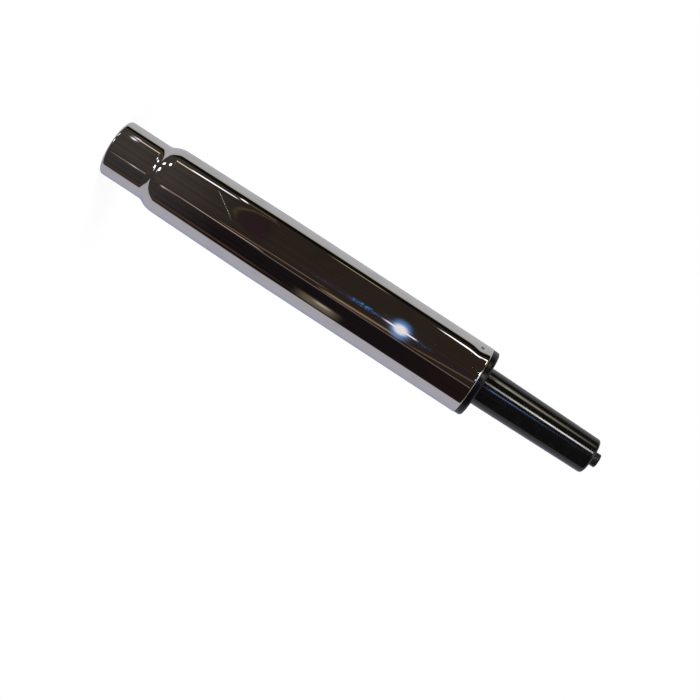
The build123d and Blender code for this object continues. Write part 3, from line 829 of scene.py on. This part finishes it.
finishes = {
    "sleeve_plastic": dict(
        name="mouldedSleeve", base=(0.0016, 0.0015, 0.002), second=(0.0028, 0.0027, 0.0034),
        metal=0.0, rough=(0.2, 0.27), grain=1400.0, relief=0.008, turned=False, shine=0.3,
    ),
    "button_black": dict(
        name="blackenedSteel", base=(0.006, 0.006, 0.007), second=(0.016, 0.015, 0.014),
        metal=0.3, rough=(0.2, 0.32), grain=2600.0, relief=0.12, turned=True,
    ),
    "bright_steel": dict(
        name="turnedSteel", base=(0.5, 0.5, 0.5), second=(0.36, 0.36, 0.37),
        metal=1.0, rough=(0.24, 0.38), grain=2400.0, relief=0.25, turned=True,
    ),
    "bearing_steel": dict(
        name="groundBearingSteel", base=(0.56, 0.55, 0.55), second=(0.44, 0.43, 0.43),
        metal=1.0, rough=(0.12, 0.22), grain=3600.0, relief=0.12, turned=True,
    ),
    "clip_steel": dict(
        name="phosphatedSpringSteel", base=(0.07, 0.068, 0.066), second=(0.14, 0.135, 0.13),
        metal=0.9, rough=(0.35, 0.5), grain=1800.0, relief=0.3, turned=False,
    ),
    "cage_brass": dict(
        name="pressedBrass", base=(0.62, 0.43, 0.17), second=(0.5, 0.33, 0.13),
        metal=1.0, rough=(0.26, 0.4), grain=1500.0, relief=0.2, turned=False,
    ),
    "rod_chrome": dict(
        name="groundRod", base=(0.62, 0.62, 0.63), second=(0.54, 0.54, 0.55),
        metal=1.0, rough=(0.08, 0.16), grain=4200.0, relief=0.08, turned=True,
    ),
    "black_rubber": dict(
        name="mouldedRubber", base=(0.018, 0.018, 0.018), second=(0.032, 0.031, 0.03),
        metal=0.0, rough=(0.6, 0.78), grain=1700.0, relief=0.35, turned=False,
    ),
    "white_plastic": dict(
        name="acetal", base=(0.72, 0.71, 0.67), second=(0.64, 0.63, 0.58),
        metal=0.0, rough=(0.34, 0.46), grain=1300.0, relief=0.15, turned=False,
    ),
    "valve_aluminium": dict(
        name="machinedAluminium", base=(0.62, 0.62, 0.63), second=(0.5, 0.5, 0.51),
        metal=1.0, rough=(0.26, 0.38), grain=2600.0, relief=0.22, turned=True,
    ),
}


def plainFinish(look):
    material, wire = newMaterial(look["name"])
    where = spot(wire)
    grown = stretch(where, plain["rings"]) if look["turned"] else where
    grain = noise(grown, look["grain"], detail=3.0)
    patches = noise(where, plain["patches"], detail=5.0, roughness=0.6)
    low, high = look["rough"]
    looks = {
        "Base Color": patches.step(*plain["secondFrom"]).mix(look["base"], look["second"]),
        "Roughness": patches.step(*plain["roughFrom"]) * (high - low) + low + grain * plain["grainRough"],
        "Metallic": look["metal"],
        "Specular IOR Level": look.get("shine", plain["shine"]),
    }
    return coat(material, wire, looks, grain, look["relief"], plain["depth"])


def dress(piece, material):
    piece.data.materials.clear()
    piece.data.materials.append(material)


def dressAll():
    dress(columnTube, chromeMaterial())
    dress(pressureTube, enamelMaterial())
    made = {slot: plainFinish(look) for slot, look in finishes.items()}
    dress(releaseButton, made["button_black"])
    for subpart in frame["record"]["subparts"]:
        slot = subpart["material_slot"]
        if slot in made:
            dress(frame["nodes"][subpart["node"]], made[slot])


dressAll()
print("materials made")

# Floor and lamps: a small pale disc that fades into the white, and two soft lamps that the gloss
# doesn't mirror
studio = {
    "floorSides": 96,
    "floorRadius": 0.15,
    "floorFade": (0.5, 0.98),  # as shares of the radius
    "floorColour": (0.92, 0.92, 0.92),
    "fibreColour": (0.9, 0.9, 0.895),
    "fibres": 900.0,
    "floorWhite": 0.85,  # share of the floor that the camera sees as plain white
    "lampHigh": dict(place=(-0.5, -0.7, 1.1), size=0.7, power=11.0),
    "lampFill": dict(place=(0.8, -0.5, 0.6), size=0.8, power=6.0),
    "lampsAim": (0, 0, 0.2),
}


def paperMaterial():
    material, wire = newMaterial("palePaper")
    x, y, _ = axes(spot(wire))
    start, end = [share * studio["floorRadius"] for share in studio["floorFade"]]
    fade = wire.maths("SQRT", x * x + y * y).step(start, end)
    fibre = noise(spot(wire), studio["fibres"], detail=3.0).mix(studio["floorColour"], studio["fibreColour"])
    paper = wire.node("ShaderNodeBsdfDiffuse", {}, {"Color": fibre})
    plainWhite = wire.node("ShaderNodeEmission", {}, {"Color": white, "Strength": 1.0})
    clear = wire.node("ShaderNodeBsdfTransparent", {}, {"Color": white})
    seen = (rays(wire, "Is Camera Ray") * studio["floorWhite"]).blend(paper, plainWhite)
    surface = wire.maths("MAXIMUM", mirrorRays(wire), fade).blend(seen, clear)
    wire.node("ShaderNodeOutputMaterial", {}, {"Surface": surface})
    return material


def addFloor():
    deselectAll()
    bpy.ops.mesh.primitive_circle_add(
        vertices=studio["floorSides"], radius=studio["floorRadius"], fill_type="TRIFAN"
    )
    floor = bpy.context.object
    floor.name = "studioFloor"
    bpy.ops.object.mode_set(mode="EDIT")
    bpy.ops.mesh.select_all(action="SELECT")
    bpy.ops.mesh.normals_make_consistent(inside=False)
    bpy.ops.object.mode_set(mode="OBJECT")
    dress(floor, paperMaterial())


def addLamp(name):
    lamp = studio[name]
    light = bpy.data.lights.new(name, "AREA")
    light.shape = "DISK"
    light.size = lamp["size"]
    light.energy = lamp["power"]
    holder = bpy.data.objects.new(name, light)
    scene.collection.objects.link(holder)
    holder.location = lamp["place"]
    aim = Vector(studio["lampsAim"]) - holder.location
    holder.rotation_euler = aim.to_track_quat("-Z", "Y").to_euler()
    holder.visible_glossy = False
    holder.visible_camera = False


addFloor()
addLamp("lampHigh")
addLamp("lampFill")
print("floor and lamps placed")
